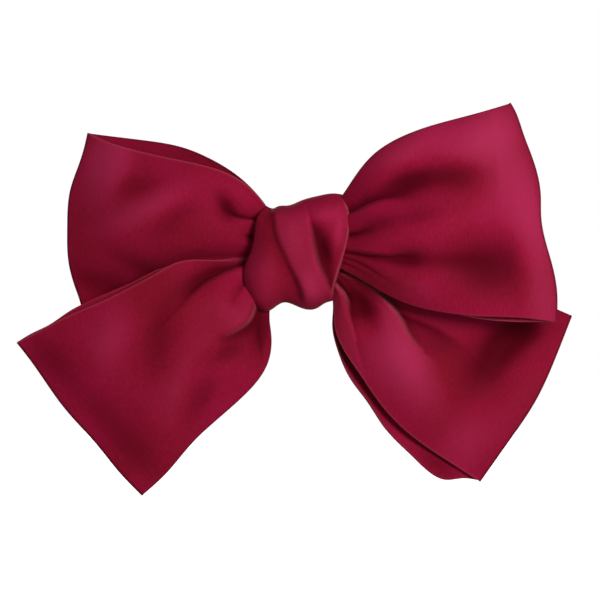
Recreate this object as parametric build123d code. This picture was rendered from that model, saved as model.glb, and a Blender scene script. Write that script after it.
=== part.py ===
from build123d import *

import os
from math import asin, degrees

# Satin hair bow sewn to a French barrette, in millimetres.
#
# The bow stands as it is worn: +Z is up, X runs along the barrette, and the bow's front faces -Y.
# The origin is in the middle of the gap that holds the hair, between tension bar and clasp arm.
# Two folded ribbons cross at the waist. The front band makes the right loop and the left tail, the
# back band makes the left loop and the right tail. The knot band goes round both and round the bar.

# Barrette: a sprung steel clip, curved to the head.
BAR_LENGTH = 80.0
BAR_WIDTH = 9.0
BAR_THICKNESS = 0.8
BAR_CREST_Y = -8.0  # middle of the bar's thickness, halfway along it
BAR_RADIUS = 136.0  # of the middle of its thickness, about a line parallel to Z
STRIP_CORNER = 2.5
BEND_CENTRE_Y = BAR_CREST_Y + BAR_RADIUS
SEWING_HOLE_RADIUS = 0.9
SEWING_HOLE_AT = (21.0, 26.0)  # distance along the bar from its middle, on each side

# Hinge at the bar's left end.
PIVOT_X = -37.0
PIVOT_Y = 1.85
PIN_RADIUS = 0.8
PIN_HEAD_RADIUS = 1.2
PIN_HEAD_THICKNESS = 0.4
RUNNING_CLEARANCE = 0.05
EAR_THICKNESS = 0.9
EAR_INNER_Z = 3.5
EAR_RADIUS = 2.0

# Clasp arm: a flat strip with two knuckles at the hinge and an open frame at the catch.
ARM_THICKNESS = 0.7
ARM_OUTER_Y = 3.4
ARM_WIDTH = 6.4
ARM_TIP_X = 39.6
KNUCKLE_RADIUS = PIN_RADIUS + RUNNING_CLEARANCE + ARM_THICKNESS
FORK_HALF_WIDTH = 1.75
FORK_END_X = -33.5
FRAME_START_X = 31.2
FRAME_WIDTH = 10.0
WINDOW = (33.4, 38.4)  # along X
WINDOW_HALF_WIDTH = 3.3

# Tension bar: a leaf spring on the same pin, bowed away from the arm.
SPRING_THICKNESS = 0.5
SPRING_WIDTH = 4.0
SPRING_EYE_RADIUS = 1.4
SPRING_EYE_WIDTH = 2.9
SPRING_END_X = 30.0
SPRING_SAG = 3.75

# Catch: a riveted plate with two sprung prongs that hook over the arm's frame.
CATCH_THICKNESS = 0.5
CATCH_WIDTH = 7.0
CATCH_FROM_X = 28.5
CATCH_TO_X = 38.8
RIVET_AT = 31.5  # distance along the bar from its middle
RIVET_RADIUS = 1.1
RIVET_HEAD_RADIUS = 1.8
RIVET_HEAD_THICKNESS = 0.4
PRONG_FROM_X = 34.2
PRONG_TO_X = 37.4
PRONG_ROOT_Y = -3.0
PRONG_CLEARANCE = 0.12  # between each prong's root and the plate that it flexes on
PRONG_TIP_Y = 6.4
PRONG_Z = 2.6  # middle of its thickness
BARB_UNDERSIDE_Y = ARM_OUTER_Y + 0.15
BARB_REACH = 1.1
BARB_TOP_Y = 5.2

# Fabric.
FELT_THICKNESS = 1.0
FELT_WIDTH = 11.0
FELT_LENGTH = 78.0
THREAD_RADIUS = 0.35
PARTING_Y = -23.1  # the plane between the two ribbons at the waist
SKIN = 1.3  # ribbon and its lining, with the air that they hold
GAP = 0.3  # between pieces of cloth

# Knot: a folded strip, puffed at the front and drawn narrow behind the bar.
KNOT_Y = -25.0
KNOT_HALF_WIDTH = 18.0
KNOT_HALF_DEPTH = 14.5
KNOT_HALF_HEIGHT = 21.2
WAIST_Y = PARTING_Y
WAIST_HALF_DEPTH = 8.3
WAIST_HALF_HEIGHT = 11.0
MOUTH_HALF_DEPTH = 10.0
MOUTH_HALF_HEIGHT = 17.0
MOUTH_X = 20.0
STRAP_HALF_WIDTH = 10.0
STRAP_THICKNESS = 1.2
STRAP_INNER_Y = -7.0
STRAP_INNER_HALF_HEIGHT = 5.9

Y_REACH = 60.0  # past every piece, for cutting along Y


def bent_strip(radius, thickness, x_from, x_to, width):
    """A strip concentric with the bar, of this mid-thickness radius, cut square at its ends."""
    centre = Pos(0, BEND_CENTRE_Y)
    ring = centre * Circle(radius + thickness / 2) - centre * Circle(radius - thickness / 2)
    half_height = 20
    window = Pos((x_from + x_to) / 2, BEND_CENTRE_Y - radius + half_height - thickness)
    return extrude(ring & window * Rectangle(x_to - x_from, 2 * half_height), width / 2, both=True)


def rounded_strip(radius, thickness, length, width):
    """A bent strip with rounded corners."""
    blank = bent_strip(radius, thickness, -length / 2 - 1, length / 2 + 1, width + 2)
    return blank & seen_from_front(RectangleRounded(length, width, STRIP_CORNER))


def seen_from_front(outline):
    """A flat shape drawn as X and Z, extruded through the whole depth."""
    return extrude(Plane.XZ * outline, Y_REACH, both=True)


def on_bar(distance, shape):
    """Carry a shape from the bar's middle to this distance along its curve."""
    turn = degrees(asin(distance / BAR_RADIUS))
    return Pos(0, BEND_CENTRE_Y) * Rot(Z=turn) * Pos(0, -BEND_CENTRE_Y) * shape


def along_y(radius, y_from, y_to):
    """A round bar along Y on the bar's middle line."""
    length = y_to - y_from
    return Pos(0, (y_from + y_to) / 2, 0) * Rot(X=90) * Cylinder(radius, length)


def at_pivot(shape):
    return Pos(PIVOT_X, PIVOT_Y, 0) * shape


def sewing_holes():
    hole = along_y(SEWING_HOLE_RADIUS, BAR_CREST_Y - 5, BAR_CREST_Y + 5)
    return [on_bar(side * distance, hole) for side in (-1, 1) for distance in SEWING_HOLE_AT]


# ---- Barrette ----------------------------------------------------------------------------------


def base_bar():
    bar = rounded_strip(BAR_RADIUS, BAR_THICKNESS, BAR_LENGTH, BAR_WIDTH) - sewing_holes()
    bar -= on_bar(RIVET_AT, along_y(RIVET_RADIUS, BAR_CREST_Y - 5, BAR_CREST_Y + 5))
    foot_y = -4.0
    foot = Pos(PIVOT_X, (PIVOT_Y + foot_y) / 2) * Rectangle(2 * EAR_RADIUS, PIVOT_Y - foot_y)
    foot &= Pos(0, BEND_CENTRE_Y) * Circle(BAR_RADIUS + BAR_THICKNESS / 2)
    ear_profile = foot + Pos(PIVOT_X, PIVOT_Y) * Circle(EAR_RADIUS)
    ear_profile -= Pos(PIVOT_X, PIVOT_Y) * Circle(PIN_RADIUS)
    ear = Pos(0, 0, EAR_INNER_Z) * extrude(ear_profile, EAR_THICKNESS)
    return bar + ear + mirror(ear, Plane.XY)


def hinge_pin():
    head_z = EAR_INNER_Z + EAR_THICKNESS
    head = Pos(0, 0, head_z + PIN_HEAD_THICKNESS / 2) * Cylinder(PIN_HEAD_RADIUS, PIN_HEAD_THICKNESS)
    shank = Cylinder(PIN_RADIUS, 2 * head_z)
    return at_pivot(shank + head + mirror(head, Plane.XY))


def clasp_arm():
    middle_y = ARM_OUTER_Y - ARM_THICKNESS / 2
    strip = Pos((PIVOT_X + FRAME_START_X + 2) / 2, 0)
    plan = strip * Rectangle(FRAME_START_X + 2 - PIVOT_X, ARM_WIDTH)
    frame_length = ARM_TIP_X - FRAME_START_X
    frame = Pos((FRAME_START_X + ARM_TIP_X) / 2, 0) * RectangleRounded(frame_length, FRAME_WIDTH, 1.6)
    window_length = WINDOW[1] - WINDOW[0]
    window = RectangleRounded(window_length, 2 * WINDOW_HALF_WIDTH, 0.6)
    plan += frame
    plan -= Pos(sum(WINDOW) / 2, 0) * window
    flat = extrude(Plane.XZ * plan, ARM_THICKNESS / 2, both=True)
    bore = Circle(PIN_RADIUS + RUNNING_CLEARANCE)
    knuckles = extrude(Circle(KNUCKLE_RADIUS) - bore, ARM_WIDTH / 2, both=True)
    arm = Pos(0, middle_y, 0) * flat
    arm -= at_pivot(Cylinder(KNUCKLE_RADIUS - 0.01, ARM_WIDTH))
    arm += at_pivot(knuckles)
    slot_length = FORK_END_X - PIVOT_X + EAR_RADIUS + 2
    slot = Box(slot_length, Y_REACH, 2 * FORK_HALF_WIDTH)
    return arm - Pos(FORK_END_X - slot_length / 2, 0, 0) * slot


def tension_bar():
    start = (PIVOT_X, PIVOT_Y - SPRING_EYE_RADIUS + SPRING_THICKNESS / 2)
    end = (SPRING_END_X, start[1])
    crest = ((start[0] + end[0]) / 2, start[1] - SPRING_SAG)
    half_chord = (end[0] - start[0]) / 2
    radius = (half_chord**2 + SPRING_SAG**2) / (2 * SPRING_SAG)
    centre = Pos(crest[0], crest[1] + radius)
    ring = centre * Circle(radius + SPRING_THICKNESS / 2) - centre * Circle(radius - SPRING_THICKNESS / 2)
    window = Pos(crest[0], 0) * Rectangle(2 * half_chord, 2 * SPRING_SAG + 4)
    leaf = extrude(ring & window, SPRING_WIDTH, both=True)
    neck_length = 2 * SPRING_EYE_RADIUS
    wide_length = 2 * half_chord - neck_length
    plan = Pos(end[0] - wide_length / 2, 0) * RectangleRounded(wide_length, SPRING_WIDTH, 1.4)
    plan += Pos(PIVOT_X + neck_length, 0) * Rectangle(2 * neck_length, SPRING_EYE_WIDTH)
    leaf &= seen_from_front(plan)
    bore = Circle(PIN_RADIUS + RUNNING_CLEARANCE)
    eye = extrude(Circle(SPRING_EYE_RADIUS) - bore, SPRING_EYE_WIDTH / 2, both=True)
    leaf -= at_pivot(Cylinder(PIN_RADIUS + RUNNING_CLEARANCE, SPRING_WIDTH))
    return leaf + at_pivot(eye)


def catch_plate():
    radius = BAR_RADIUS - (BAR_THICKNESS + CATCH_THICKNESS) / 2
    plate = bent_strip(radius, CATCH_THICKNESS, CATCH_FROM_X, CATCH_TO_X, CATCH_WIDTH)
    return plate - on_bar(RIVET_AT, along_y(RIVET_RADIUS, BAR_CREST_Y - 5, BAR_CREST_Y + 5))


def upper_catch_prong():
    inner = PRONG_Z - CATCH_THICKNESS / 2
    outer = PRONG_Z + CATCH_THICKNESS / 2
    profile = Polyline(
        (PRONG_ROOT_Y, inner),
        (PRONG_ROOT_Y, outer),
        (BARB_UNDERSIDE_Y, outer),
        (BARB_UNDERSIDE_Y, outer + BARB_REACH),
        (BARB_UNDERSIDE_Y + 0.3, outer + BARB_REACH),
        (BARB_TOP_Y, outer),
        (PRONG_TIP_Y, outer),
        (PRONG_TIP_Y, inner),
        close=True,
    )
    blank = extrude(Plane.YZ * make_face(profile), PRONG_TO_X - PRONG_FROM_X)
    plate_face_radius = BAR_RADIUS - BAR_THICKNESS / 2 - CATCH_THICKNESS
    clear_of_plate = Pos(0, BEND_CENTRE_Y, 0) * Cylinder(plate_face_radius - PRONG_CLEARANCE, 20)
    return Pos(PRONG_FROM_X, 0, 0) * blank & clear_of_plate


def catch_rivet():
    front_y = BAR_CREST_Y - BAR_THICKNESS / 2
    seat = 0.03  # the flat head stands on the edges of the curved plate
    back_y = BAR_CREST_Y + BAR_THICKNESS / 2 + CATCH_THICKNESS + seat
    shank = along_y(RIVET_RADIUS, front_y, back_y)
    front_head = along_y(RIVET_HEAD_RADIUS, front_y - RIVET_HEAD_THICKNESS, front_y)
    back_head = along_y(RIVET_HEAD_RADIUS, back_y, back_y + RIVET_HEAD_THICKNESS)
    return on_bar(RIVET_AT, shank + front_head + back_head)


# ---- Felt and thread ---------------------------------------------------------------------------


def felt_backing():
    radius = BAR_RADIUS + (BAR_THICKNESS + FELT_THICKNESS) / 2
    felt = rounded_strip(radius, FELT_THICKNESS, FELT_LENGTH, FELT_WIDTH) - sewing_holes()
    return felt - on_bar(RIVET_AT, along_y(RIVET_HEAD_RADIUS + 0.2, BAR_CREST_Y - 5, BAR_CREST_Y))


def bar_stitches(side):
    """Thread through each hole and round one edge of bar and felt, then round the other edge."""
    back = BAR_CREST_Y + BAR_THICKNESS / 2 + THREAD_RADIUS + 0.1
    front = BAR_CREST_Y - BAR_THICKNESS / 2 - FELT_THICKNESS - THREAD_RADIUS - 0.1
    inner = THREAD_RADIUS + 0.07
    outer = FELT_WIDTH / 2 + THREAD_RADIUS + 0.15
    loop = Plane.YZ * Pos((back + front) / 2, (inner + outer) / 2)
    path = (loop * RectangleRounded(back - front, outer - inner, 2 * THREAD_RADIUS)).wire()
    start = Plane(origin=path @ 0, z_dir=path % 0)
    stitch = sweep(start * Circle(THREAD_RADIUS), path=path)
    pair = [stitch, mirror(stitch, Plane.XY)]
    return Compound([on_bar(side * distance, half) for distance in SEWING_HOLE_AT for half in pair])


def gathering_thread():
    """Four turns round the bunched ribbons."""
    turns = []
    half_depth = WAIST_HALF_DEPTH - GAP - THREAD_RADIUS
    half_height = WAIST_HALF_HEIGHT - GAP - THREAD_RADIUS
    for turn in range(4):
        spacing = 2 * THREAD_RADIUS + 0.1
        plane = Plane(origin=((turn - 1.5) * spacing, WAIST_Y, 0), x_dir=(0, 1, 0), z_dir=(1, 0, 0))
        path = (plane * Ellipse(half_depth, half_height)).wire()
        section = Plane(origin=path @ 0, z_dir=path % 0) * Circle(THREAD_RADIUS)
        turns.append(sweep(section, path=path))
    return Compound(turns)


def knot_closing_stitches():
    """A row of short upright stitches on the strap behind the bar."""
    lying_y = STRAP_INNER_Y + STRAP_THICKNESS + THREAD_RADIUS
    stitch = Cylinder(THREAD_RADIUS, 2.4)
    stitch += Pos(0, 0, 1.2) * Sphere(THREAD_RADIUS)
    stitch += Pos(0, 0, -1.2) * Sphere(THREAD_RADIUS)
    slant = Rot(Y=18) * stitch
    return Compound([Pos(x, lying_y, 0) * slant for x in (-7.5, -4.5, -1.5, 1.5, 4.5, 7.5)])


# ---- Knot --------------------------------------------------------------------------------------


def knot_front_outline(grow=0.0):
    corners = [
        (-14.6, 12.5),
        (-17.9, -2.5),
        (-19.2, -12.5),
        (-13.5, -20.6),
        (4.0, -20.6),
        (13.6, -16.5),
        (17.3, -3.0),
        (19.4, 12.0),
        (14.5, 20.9),
        (0.0, 17.8),
    ]
    scale_up = 1 + grow / KNOT_HALF_WIDTH
    return make_face(Spline(*[(scale_up * x, scale_up * z) for x, z in corners], periodic=True))


def knot_hull(grow=0.0):
    """The knot's outer form, filled."""
    ellipse = Pos(KNOT_Y, 0) * Ellipse(KNOT_HALF_DEPTH + grow, KNOT_HALF_HEIGHT + grow)
    return seen_from_front(knot_front_outline(grow)) & extrude(Plane.YZ * ellipse, 30, both=True)


def waist_space(shrink=0.0):
    """The space inside the knot: an oval neck that flares to a mouth at each side."""
    at_waist = Pos(WAIST_Y, 0)
    neck = at_waist * Ellipse(WAIST_HALF_DEPTH - shrink, WAIST_HALF_HEIGHT - shrink)
    mouth = at_waist * Ellipse(MOUTH_HALF_DEPTH - shrink, MOUTH_HALF_HEIGHT - shrink)
    neck_x = 5.0
    flare = loft([Plane.YZ.offset(neck_x) * neck, Plane.YZ.offset(MOUTH_X) * mouth])
    end = Plane.YZ.offset(MOUTH_X) * extrude(mouth, 3)
    side = flare + end
    return extrude(Plane.YZ * neck, neck_x, both=True) + side + mirror(side, Plane.YZ)


def knot_band():
    strap_outer_y = STRAP_INNER_Y + STRAP_THICKNESS
    strap_half_height = STRAP_INNER_HALF_HEIGHT + STRAP_THICKNESS
    outer = Pos((KNOT_Y + strap_outer_y) / 2, 0)
    outer *= RectangleRounded(strap_outer_y - KNOT_Y, 2 * strap_half_height, 2.0)
    inner = Pos((KNOT_Y + STRAP_INNER_Y) / 2, 0)
    inner *= RectangleRounded(STRAP_INNER_Y - KNOT_Y, 2 * STRAP_INNER_HALF_HEIGHT, 0.8)
    strap = extrude(Plane.YZ * outer, STRAP_HALF_WIDTH, both=True)
    bar_space = extrude(Plane.YZ * inner, 30, both=True)
    return knot_hull() + strap - waist_space() - bar_space


# ---- Ribbons -----------------------------------------------------------------------------------

FRONT = -1
BACK = 1
LOBE_START = 12.0  # distance from the waist where the two layers of a lobe begin


def lens(stations):
    """A closed shape between two arcs, from three (distance, front y, back y) stations."""
    front = [(u, front_y) for u, front_y, _ in stations]
    back = [(u, back_y) for u, _, back_y in reversed(stations)]
    return make_face([
        ThreePointArc(*front),
        Line(front[2], back[0]),
        ThreePointArc(*back),
        Line(back[2], front[0]),
    ])


def layers_at(stations, u):
    """Front and back y at a distance from the waist, on parabolas through the stations."""
    result = []
    for layer in (1, 2):
        total = 0.0
        for station in stations:
            weight = 1.0
            for other in stations:
                if other is not station:
                    weight *= (u - other[0]) / (station[0] - other[0])
            total += weight * station[layer]
        result.append(total)
    return result


def inside_of(stations):
    """The hollow between the two layers, from just past the waist to where they meet at the fold."""
    least = 2 * SKIN + 0.4
    start = LOBE_START + 8
    end = stations[2][0]
    while layers_at(stations, end)[1] - layers_at(stations, end)[0] < least:
        end -= 1.0
    inner = []
    for u in (start, (start + end) / 2, end):
        front_y, back_y = layers_at(stations, u)
        inner.append((u, front_y + SKIN, back_y - SKIN))
    return inner


def front_shape(*stretches):
    """A closed front outline whose stretches meet at corners, each a line or a smooth curve."""
    edges = [Line(*points) if len(points) == 2 else Spline(*points) for points in stretches]
    return make_face(edges)


def lobe(angle, waist, middle, fold, fold_at, outline):
    """One end of a ribbon. waist, middle and fold are each the y of its front and back layers."""
    middle_at = (LOBE_START + fold_at) / 2
    stations = [(LOBE_START, *waist), (middle_at, *middle), (fold_at, *fold)]
    section = lens(stations) - lens(inside_of(stations))
    drawn = Rot(Y=-angle) * extrude(section, 80, both=True)
    return drawn & seen_from_front(outline)


def waist_half(side, reach=0.0):
    """Everything on one side of the plane that parts the two ribbons, moved across it by reach."""
    depth = 40.0
    near = PARTING_Y + side * (GAP / 2 - reach)
    return Pos(0, near + side * depth / 2, 0) * Box(60, depth, 60)


def band(side, lobes):
    """Two lobes joined by the bunched cloth inside the knot, with a groove for the thread."""
    bunch = waist_space(GAP) & knot_hull(2 * GAP) & waist_half(side)
    thread_depth = GAP + 2 * THREAD_RADIUS + 0.05
    wide = Pos(WAIST_Y, 0) * Ellipse(WAIST_HALF_DEPTH + 1, WAIST_HALF_HEIGHT + 1)
    wide -= Pos(WAIST_Y, 0) * Ellipse(WAIST_HALF_DEPTH - thread_depth, WAIST_HALF_HEIGHT - thread_depth)
    bunch -= extrude(Plane.YZ * wide, 5 * THREAD_RADIUS, both=True)
    other_bunch = waist_space() & knot_hull(3 * GAP) & waist_half(-side, GAP)
    hull = knot_hull(GAP)
    whole = bunch
    for one in lobes:
        whole += one - hull - other_bunch
    return whole


def right_loop():
    outline = front_shape(
        [(4, 6), (17, 21), (30, 37), (50, 46), (76.6, 53.6)],
        [(76.6, 53.6), (84.5, 33), (89, 6), (93.2, -25.5)],
        [(93.2, -25.5), (66, -23.5), (42, -17), (22, -9), (4, -4)],
        [(4, -4), (4, 6)],
    )
    return lobe(11.3, (-30.6, -23.5), (-41.0, -21.4), (-31.0, -29.5), 88.5, outline)


def left_tail():
    outline = front_shape(
        [(-6, 2), (-18, -1), (-45, -4.5), (-72, -16.5), (-100.6, -32.3)],
        [(-100.6, -32.3), (-95, -40), (-72, -68), (-55.3, -87.6)],
        [(-55.3, -87.6), (-38.4, -69.7), (-18.9, -51.6), (-9.6, -36), (-10.5, -18)],
        [(-10.5, -18), (-6, 2)],
    )
    return lobe(217.8, (-30.6, -23.5), (-40.5, -35.2), (-36.5, -35.0), 99.5, outline)


def left_loop():
    outline = front_shape(
        [(-4, 8), (-11, 17), (-32, 34), (-54.5, 40.8), (-75.7, 43.5)],
        [(-75.7, 43.5), (-82, 22), (-82.5, -4), (-78, -24)],
        [(-78, -24), (-55, -21), (-30, -12), (-4, -6)],
        [(-4, -6), (-4, 8)],
    )
    return lobe(178.0, (-22.7, -15.4), (-28.4, -11.0), (-20.0, -18.5), 83.0, outline)


def right_tail():
    outline = front_shape(
        [(6, 2), (18, -2), (45, -9), (93.6, -20.1), (100.2, -22.9)],
        [(100.2, -22.9), (93.6, -38.2), (77.6, -68.1), (66.5, -83.8)],
        [(66.5, -83.8), (54.3, -83.8)],
        [(54.3, -83.8), (32.4, -64.6), (19.9, -46.6), (13.5, -27.1), (10, -12)],
        [(10, -12), (6, 2)],
    )
    return lobe(-28.6, (-22.7, -15.4), (-16.8, -10.3), (-14.5, -13.0), 100.0, outline)


# ---- Output ------------------------------------------------------------------------------------

PARTS = {
    "front_band": band(FRONT, [right_loop(), left_tail()]),
    "back_band": band(BACK, [left_loop(), right_tail()]),
    "knot_band": knot_band(),
    "gathering_thread": gathering_thread(),
    "knot_closing_stitches": knot_closing_stitches(),
    "felt_backing": felt_backing(),
    "left_bar_stitches": bar_stitches(-1),
    "right_bar_stitches": bar_stitches(1),
    "base_bar": base_bar(),
    "hinge_pin": hinge_pin(),
    "clasp_arm": clasp_arm(),
    "tension_bar": tension_bar(),
    "catch_plate": catch_plate(),
    "upper_catch_prong": upper_catch_prong(),
    "lower_catch_prong": mirror(upper_catch_prong(), Plane.XY),
    "catch_rivet": catch_rivet(),
}

os.makedirs("parts", exist_ok=True)
for name, shape in PARTS.items():
    export_step(shape, f"parts/{name}.step")
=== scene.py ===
import math

import bpy
import numpy as np
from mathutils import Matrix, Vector


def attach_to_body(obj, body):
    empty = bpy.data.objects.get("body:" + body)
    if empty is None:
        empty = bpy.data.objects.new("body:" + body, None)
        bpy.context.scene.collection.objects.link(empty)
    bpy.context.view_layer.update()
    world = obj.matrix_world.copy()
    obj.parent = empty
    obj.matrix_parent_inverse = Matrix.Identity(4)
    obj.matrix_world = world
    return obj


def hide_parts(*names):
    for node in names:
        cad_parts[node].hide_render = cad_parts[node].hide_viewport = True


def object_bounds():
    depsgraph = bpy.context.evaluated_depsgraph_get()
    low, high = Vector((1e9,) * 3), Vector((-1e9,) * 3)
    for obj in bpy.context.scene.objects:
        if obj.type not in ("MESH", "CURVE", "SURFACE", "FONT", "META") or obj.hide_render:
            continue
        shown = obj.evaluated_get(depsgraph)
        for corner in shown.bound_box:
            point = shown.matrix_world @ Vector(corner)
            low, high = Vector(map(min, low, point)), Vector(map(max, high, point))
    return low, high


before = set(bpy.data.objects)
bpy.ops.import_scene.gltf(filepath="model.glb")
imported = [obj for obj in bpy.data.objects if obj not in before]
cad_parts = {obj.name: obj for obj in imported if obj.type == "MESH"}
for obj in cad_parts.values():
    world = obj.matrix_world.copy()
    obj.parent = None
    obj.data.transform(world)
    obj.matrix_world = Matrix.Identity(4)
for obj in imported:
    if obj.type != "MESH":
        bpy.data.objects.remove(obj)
cad_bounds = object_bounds()

# The bow's front faces -Y, X runs along the barrette and +Z is up, as in the frame.
# Shapes are worked out in millimetres and turned into metres when their mesh is made.
# A height is a distance towards the viewer from the frame's origin, so y = -height.
MM = 0.001
SATIN_THICKNESS = 0.7


# ---- Scene -------------------------------------------------------------------------------------


def new_piece(name, vertices, faces, material):
    """An object in the scene from points in metres."""
    mesh = bpy.data.meshes.new(name)
    mesh.from_pydata(vertices, [], faces)
    mesh.materials.append(material)
    piece = bpy.data.objects.new(name, mesh)
    bpy.context.collection.objects.link(piece)
    return piece


def aim(thing, target):
    """Turn a camera or a light towards a point."""
    thing.rotation_euler = (Vector(target) - thing.location).to_track_quat("-Z", "Y").to_euler()


def make_camera():
    """Straight in front of the bow, with a long lens, so that it looks nearly flat."""
    view_width = 0.2182
    lens, sensor = 200.0, 36.0
    middle = Vector((0.0011, -0.028, -0.0175))
    camera = bpy.data.objects.new("camera", bpy.data.cameras.new("camera"))
    bpy.context.collection.objects.link(camera)
    camera.data.lens = lens
    camera.data.sensor_width = sensor
    camera.data.clip_end = 20
    camera.location = middle + Vector((0, -view_width * lens / sensor, 0))
    aim(camera, middle)
    bpy.context.scene.camera = camera


def softbox(name, place, size, power, colour):
    """A round area light that points at the bow."""
    light = bpy.data.objects.new(name, bpy.data.lights.new(name, "AREA"))
    bpy.context.collection.objects.link(light)
    light.data.shape = "DISK"
    light.data.size = size
    light.data.energy = power
    light.data.color = colour
    light.location = place
    aim(light, (0.0, -0.02, -0.015))


def make_lights():
    """Three lights, and a room that lights weakly but that the camera sees as white."""
    softbox("key", (0.40, -0.74, 0.20), 0.36, 5.2, (1.0, 0.98, 0.98))
    softbox("fill", (-0.4, -1.0, -0.1), 0.6, 0.9, (1.0, 0.99, 1.0))
    softbox("back", (-0.55, 0.95, 0.24), 0.7, 10.0, (1.0, 1.0, 1.0))
    world = bpy.data.worlds.new("white room")
    world.use_nodes = True
    bpy.context.scene.world = world
    nodes, links = world.node_tree.nodes, world.node_tree.links
    nodes.clear()
    seen = nodes.new("ShaderNodeBackground")
    seen.inputs["Strength"].default_value = 1.0
    lighting = nodes.new("ShaderNodeBackground")
    lighting.inputs["Strength"].default_value = 0.13
    for background in (seen, lighting):
        background.inputs["Color"].default_value = (1, 1, 1, 1)
    path = nodes.new("ShaderNodeLightPath")
    mix = nodes.new("ShaderNodeMixShader")
    output = nodes.new("ShaderNodeOutputWorld")
    links.new(path.outputs["Is Camera Ray"], mix.inputs[0])
    links.new(lighting.outputs[0], mix.inputs[1])
    links.new(seen.outputs[0], mix.inputs[2])
    links.new(mix.outputs[0], output.inputs["Surface"])
    bpy.context.scene.view_settings.view_transform = "Standard"


def make_floor():
    """A pale floor just under the lowest tip, which the camera sees as white."""
    gap, half = 0.002, 0.6
    level = cad_bounds[0][2] - gap
    corners = [(-half, -half, level), (half, -half, level), (half, half, level), (-half, half, level)]
    material, nodes, links, shader = new_material("pale_floor")
    shader.inputs["Base Color"].default_value = (0.6, 0.6, 0.6, 1)
    shader.inputs["Roughness"].default_value = 0.9
    shader.inputs["Specular IOR Level"].default_value = 0.0
    glow = nodes.new("ShaderNodeEmission")
    glow.inputs["Strength"].default_value = 1.0
    path = nodes.new("ShaderNodeLightPath")
    mix = nodes.new("ShaderNodeMixShader")
    total = nodes.new("ShaderNodeAddShader")
    links.new(shader.outputs[0], total.inputs[0])
    links.new(glow.outputs[0], total.inputs[1])
    links.new(path.outputs["Is Camera Ray"], mix.inputs[0])
    links.new(shader.outputs[0], mix.inputs[1])
    links.new(total.outputs[0], mix.inputs[2])
    links.new(mix.outputs[0], nodes["Material Output"].inputs["Surface"])
    new_piece("floor", corners, [(0, 1, 2, 3)], material)


# ---- Materials ---------------------------------------------------------------------------------


def new_material(name):
    """A node material, with its nodes, its links and its shader."""
    material = bpy.data.materials.new(name)
    material.use_nodes = True
    nodes, links = material.node_tree.nodes, material.node_tree.links
    return material, nodes, links, nodes["Principled BSDF"]


def stretched_noise(nodes, links, source, scales, detail=2.0, roughness=0.5):
    """Noise with its own number of cells per metre along each axis of its coordinates."""
    mapping = nodes.new("ShaderNodeMapping")
    mapping.inputs["Scale"].default_value = scales
    links.new(source, mapping.inputs["Vector"])
    noise = nodes.new("ShaderNodeTexNoise")
    noise.inputs["Scale"].default_value = 1.0
    noise.inputs["Detail"].default_value = detail
    noise.inputs["Roughness"].default_value = roughness
    links.new(mapping.outputs[0], noise.inputs["Vector"])
    return noise.outputs["Fac"]


def blended(nodes, links, factor, dark, light):
    """A colour that runs from dark to light as the factor goes from 0.3 to 0.7."""
    ramp = nodes.new("ShaderNodeValToRGB")
    ramp.color_ramp.elements[0].position = 0.3
    ramp.color_ramp.elements[1].position = 0.7
    ramp.color_ramp.elements[0].color = (*dark, 1)
    ramp.color_ramp.elements[1].color = (*light, 1)
    links.new(factor, ramp.inputs["Fac"])
    return ramp.outputs["Color"]


def mixed(nodes, links, kind, factor, first, second):
    """Two colours mixed. The factor is a number or a socket, the second colour a value or a socket."""
    mix = nodes.new("ShaderNodeMix")
    mix.data_type = "RGBA"
    mix.blend_type = kind
    if isinstance(factor, float):
        mix.inputs["Factor"].default_value = factor
    else:
        links.new(factor, mix.inputs["Factor"])
    links.new(first, mix.inputs["A"])
    if isinstance(second, tuple):
        mix.inputs["B"].default_value = (*second, 1)
    else:
        links.new(second, mix.inputs["B"])
    return mix.outputs["Result"]


def bump(nodes, links, height, shader, strength, distance):
    """Tilt the shader's normals as if this height stood on the surface."""
    node = nodes.new("ShaderNodeBump")
    node.inputs["Strength"].default_value = strength
    node.inputs["Distance"].default_value = distance
    links.new(height, node.inputs["Height"])
    links.new(node.outputs["Normal"], shader.inputs["Normal"])


def painted(nodes, name):
    """A value from 0 to 1 that the mesh carries at each of its points."""
    node = nodes.new("ShaderNodeAttribute")
    node.attribute_name = name
    return node.outputs["Fac"]


def satin_material():
    """Burgundy satin: fine floats across the ribbon and soft mottling, with painted shade in creases,
    hollows and along edges, and painted highlights on crests and in thin lines along edges and folds.
    """
    material, nodes, links, shader = new_material("burgundy_satin")
    place = nodes.new("ShaderNodeTexCoord")
    cloth = nodes.new("ShaderNodeUVMap")
    cloth.uv_map = "cloth"
    mottle = stretched_noise(nodes, links, place.outputs["Object"], (34, 34, 34), 2.0, 0.5)
    colour = blended(nodes, links, mottle, (0.25, 0.0068, 0.0225), (0.335, 0.0074, 0.044))
    floats = stretched_noise(nodes, links, cloth.outputs["UV"], (300, 1700, 1), 4.0, 0.75)
    streaks = blended(nodes, links, floats, (0.8, 0.72, 0.76), (1.16, 1.3, 1.24))
    colour = mixed(nodes, links, "MULTIPLY", 1.0, colour, streaks)
    # Painted shade, a painted highlight on crests and thin painted highlight lines, each mixed over the
    # cloth's colour by an attribute of the mesh
    shade_and_highlight_tints = {"crest_highlight": (0.56, 0.040, 0.135), "dark": (0.085, 0.0014, 0.0063), "painted_gleam": (0.50, 0.09, 0.13)}
    for name, tint in shade_and_highlight_tints.items():
        colour = mixed(nodes, links, "MIX", painted(nodes, name), colour, tint)
    links.new(colour, shader.inputs["Base Color"])
    bump(nodes, links, floats, shader, 0.35, 0.00006)
    shader.inputs["Roughness"].default_value = 0.55
    shader.inputs["Specular IOR Level"].default_value = 0.03
    shader.inputs["Specular Tint"].default_value = (1.0, 0.3, 0.45, 1)
    shader.inputs["Sheen Weight"].default_value = 0.09
    shader.inputs["Sheen Roughness"].default_value = 0.45
    shader.inputs["Sheen Tint"].default_value = (1.0, 0.2, 0.36, 1)
    return material


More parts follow.
